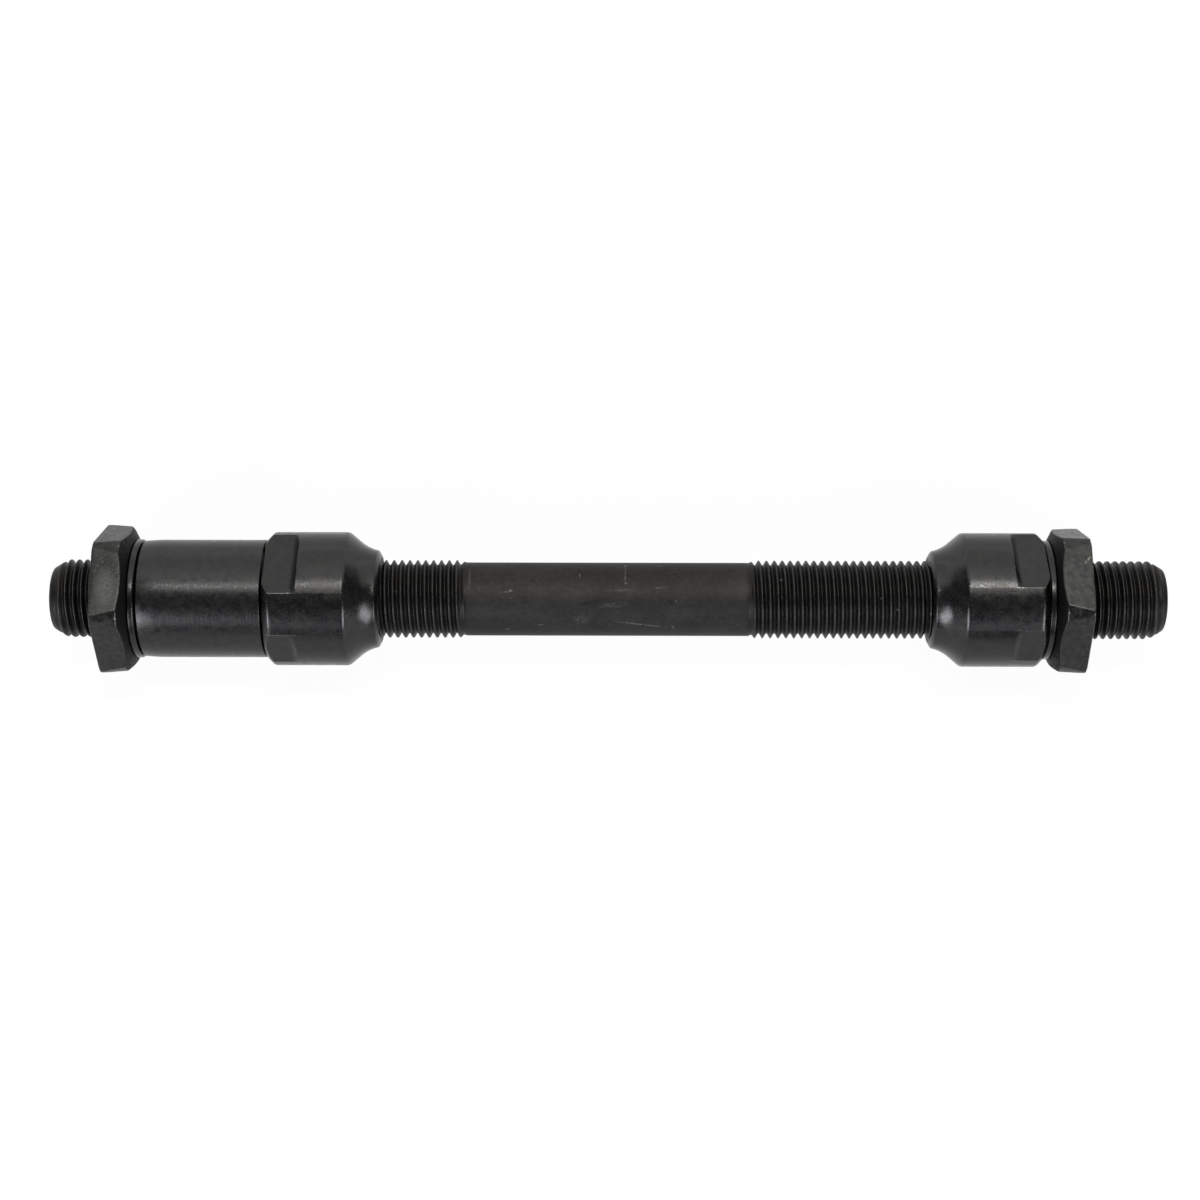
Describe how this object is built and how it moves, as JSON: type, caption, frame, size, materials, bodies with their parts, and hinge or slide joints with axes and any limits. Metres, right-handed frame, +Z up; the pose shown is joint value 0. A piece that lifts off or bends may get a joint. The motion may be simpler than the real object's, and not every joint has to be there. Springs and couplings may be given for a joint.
{
  "type": "hub axle",
  "caption": "Hollow threaded rear hub axle with bearing cones, washers, locknuts and a drive-side spacer, all in black oxide steel.",
  "frame": {"origin": "middle of the axle's length, on its axis", "axes": "+X along the axle from the drive side with the spacer to the plain side, +Z up as the set lies on a flat of the drive-side locknut"},
  "size_m": [0.14, 0.0192, 0.0178],
  "materials": {
    "axle_steel": "rolled thread and matte shank in black oxide",
    "cone_steel": "ground and hardened, satin black oxide",
    "locknut_steel": "forged hexagon, mottled satin black oxide",
    "washer_steel": "stamped, satin black oxide",
    "spacer_steel": "turned tube, satin black oxide"
  },
  "bodies": {
    "axle": {"axle": "axle_steel"},
    "drive_washer": {"drive_washer": "washer_steel"},
    "drive_locknut": {"drive_locknut": "locknut_steel"},
    "drive_spacer": {"drive_spacer": "spacer_steel"},
    "drive_cone": {"drive_cone": "cone_steel"},
    "plain_washer": {"plain_washer": "washer_steel"},
    "plain_cone": {"plain_cone": "cone_steel"},
    "plain_locknut": {"plain_locknut": "locknut_steel"}
  },
  "joints": [
    {"name": "drive_washer_slide", "type": "slide", "parent": "axle", "child": "drive_washer", "axis": [-1, 0, 0], "range_m": [0, 0.012]},
    {"name": "drive_locknut_turn", "type": "hinge", "parent": "drive_washer", "child": "drive_locknut", "pos_m": [-0.06175, 0, 0], "axis": [-1, 0, 0], "range_deg": [0, 4320]},
    {"name": "drive_spacer_slide", "type": "slide", "parent": "axle", "child": "drive_spacer", "axis": [1, 0, 0], "range_m": [0, 0.01]},
    {"name": "drive_cone_turn", "type": "hinge", "parent": "drive_spacer", "child": "drive_cone", "pos_m": [-0.0357, 0, 0], "axis": [1, 0, 0], "range_deg": [0, 3600]},
    {"name": "plain_washer_slide", "type": "slide", "parent": "axle", "child": "plain_washer", "axis": [1, 0, 0], "range_m": [-0.022, 0.03]},
    {"name": "plain_cone_turn", "type": "hinge", "parent": "plain_washer", "child": "plain_cone", "pos_m": [0.0477, 0, 0], "axis": [1, 0, 0], "range_deg": [-7920, 10800]},
    {"name": "plain_locknut_turn", "type": "hinge", "parent": "plain_washer", "child": "plain_locknut", "pos_m": [0.05785, 0, 0], "axis": [1, 0, 0], "range_deg": [-7920, 10800]}
  ],
  "couplings": [
    {"joint": "drive_locknut_turn", "follows": "drive_washer_slide", "rad_per_m": 6283.2},
    {"joint": "drive_cone_turn", "follows": "drive_spacer_slide", "rad_per_m": 6283.2},
    {"joint": "plain_cone_turn", "follows": "plain_washer_slide", "rad_per_m": 6283.2},
    {"joint": "plain_locknut_turn", "follows": "plain_washer_slide", "rad_per_m": 6283.2}
  ]
}
